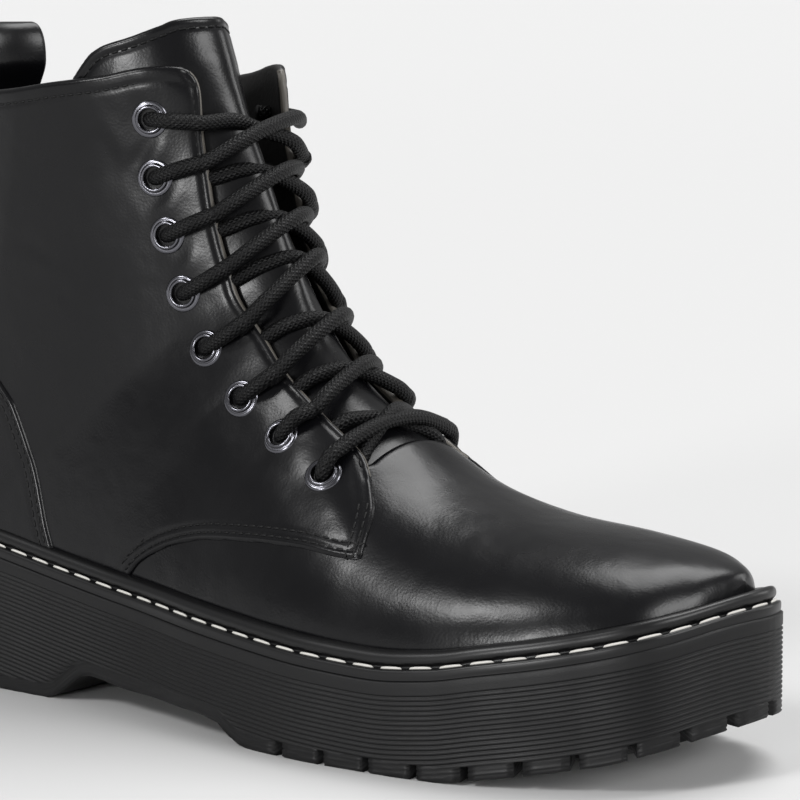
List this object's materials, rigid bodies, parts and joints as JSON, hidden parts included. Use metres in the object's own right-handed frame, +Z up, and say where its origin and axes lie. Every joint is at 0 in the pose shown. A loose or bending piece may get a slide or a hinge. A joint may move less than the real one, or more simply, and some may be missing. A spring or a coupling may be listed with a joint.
{
  "type": "combat boot",
  "caption": "Ankle-high lace-up combat boot in smooth black leather on a thick ribbed platform sole with a lugged tread, stitched welt, tall tongue and pull loop.",
  "frame": {"origin": "on the floor, at the middle of the sole's length and of its width at the ball", "axes": "+X from the heel to the toe, +Y to the inner (medial) side of the right foot, +Z up"},
  "size_m": [0.302, 0.1057, 0.2092],
  "materials": {
    "black_leather": "polished smooth leather, black, with soft broad highlights and fine creases",
    "loop_leather": "smooth black leather strap, satin",
    "lining": "matt black lining leather",
    "sole_rubber": "moulded black rubber, matt, with fine horizontal ribs",
    "welt_rubber": "moulded black rubber, satin, with a white stitched thread",
    "eyelet_metal": "gunmetal-plated, polished, darker flange and bright rolled inner ring",
    "lace_cord": "round braided polyester cord, black, matt"
  },
  "bodies": {
    "root": {"platform_sole": "sole_rubber", "welt": "welt_rubber", "upper": "black_leather", "insole": "lining", "tongue": "black_leather", "pull_loop": "loop_leather", "eyelet_outer_1": "eyelet_metal", "eyelet_outer_2": "eyelet_metal", "eyelet_outer_3": "eyelet_metal", "eyelet_outer_4": "eyelet_metal", "eyelet_outer_5": "eyelet_metal", "eyelet_outer_6": "eyelet_metal", "eyelet_outer_7": "eyelet_metal", "eyelet_outer_8": "eyelet_metal", "eyelet_inner_1": "eyelet_metal", "eyelet_inner_2": "eyelet_metal", "eyelet_inner_3": "eyelet_metal", "eyelet_inner_4": "eyelet_metal", "eyelet_inner_5": "eyelet_metal", "eyelet_inner_6": "eyelet_metal", "eyelet_inner_7": "eyelet_metal", "eyelet_inner_8": "eyelet_metal", "lace_bar": "lace_cord", "lace_cross_2": "lace_cord", "lace_cross_3": "lace_cord", "lace_cross_4": "lace_cord", "lace_cross_5": "lace_cord", "lace_cross_6": "lace_cord", "lace_cross_7": "lace_cord", "lace_cross_8": "lace_cord"}
  },
  "joints": []
}
